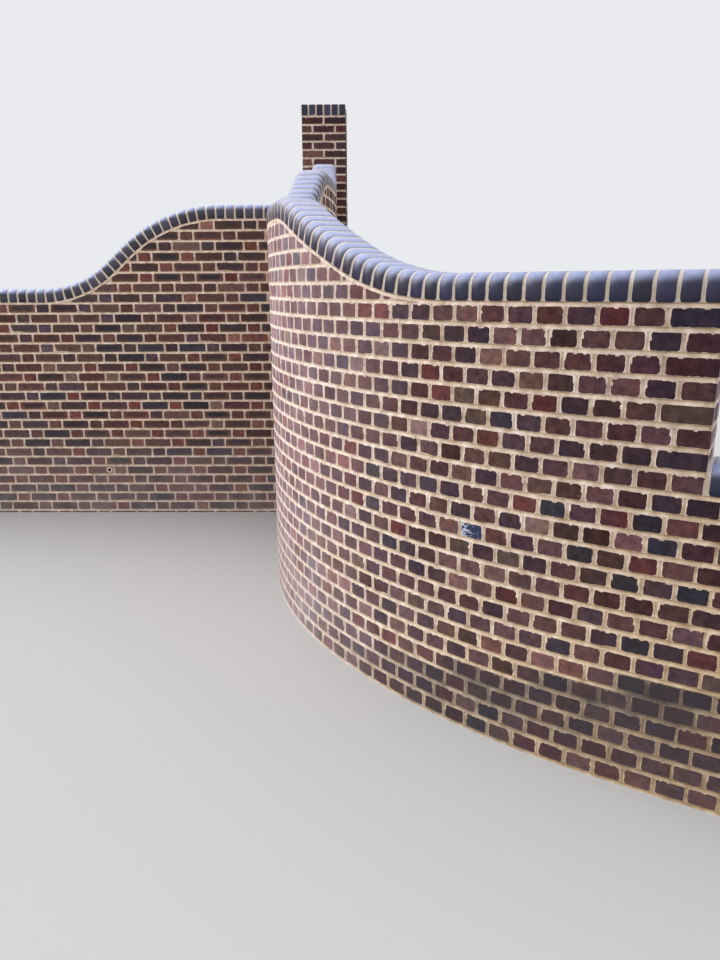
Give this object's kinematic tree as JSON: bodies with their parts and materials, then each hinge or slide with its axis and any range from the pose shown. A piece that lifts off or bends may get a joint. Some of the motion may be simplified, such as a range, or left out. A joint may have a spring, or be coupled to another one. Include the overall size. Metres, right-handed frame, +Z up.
{
  "type": "curved brick garden wall with swept coping and end pier",
  "caption": "Brick garden wall: a straight wall and a plan-curved wall under a bullnose brick-on-edge coping that sweeps up in bays to a square end pier",
  "frame": {"origin": "at ground level, inside the wall that runs back, 63 mm in from its outer face, in the plane of the front face of the straight wall", "axes": "+Y away from the viewer, along the wall that runs back; +X to the right, so the straight wall runs along -X; +Z up"},
  "size_m": [8.9584, 7.0351, 3.6025],
  "materials": {
    "brick": "matt fired clay facing brick, dark multi red to blue-black, in buff lime-cement joints",
    "mortar": "buff lime-cement mortar",
    "coping": "satin blue engineering brick"
  },
  "bodies": {
    "root": {"lower_bay_far": "brick", "lower_bay_near": "brick", "quoined_end": "brick", "level_bay_right": "brick", "sweep_bay_front": "brick", "crest_bend": "brick", "sweep_bay_mid": "brick", "level_bay_back": "brick", "sweep_bay_back": "brick", "pier_bay": "brick", "pier_shaft": "brick", "pier_cap_bed": "mortar", "pier_edge_course": "coping", "left_high_bay": "brick", "left_sweep_bay": "brick", "left_bay_near": "brick", "left_bay_far": "brick", "bed_lower": "mortar", "bed_quoined_end": "mortar", "bed_level_right": "mortar", "bed_sweep_front": "mortar", "bed_crest": "mortar", "bed_sweep_mid": "mortar", "bed_level_back": "mortar", "bed_sweep_back": "mortar", "bed_pier_bay": "mortar", "bed_left_high": "mortar", "bed_left_sweep": "mortar", "bed_left_low": "mortar", "coping_lower_far": "coping", "coping_lower_near": "coping", "coping_quoined_end": "coping", "coping_level_right": "coping", "coping_sweep_front": "coping", "coping_crest": "coping", "coping_sweep_mid": "coping", "coping_level_back": "coping", "coping_sweep_back": "coping", "coping_pier_bay": "coping", "coping_left_high": "coping", "coping_left_sweep": "coping", "coping_left_near": "coping", "coping_left_far": "coping"}
  },
  "joints": []
}
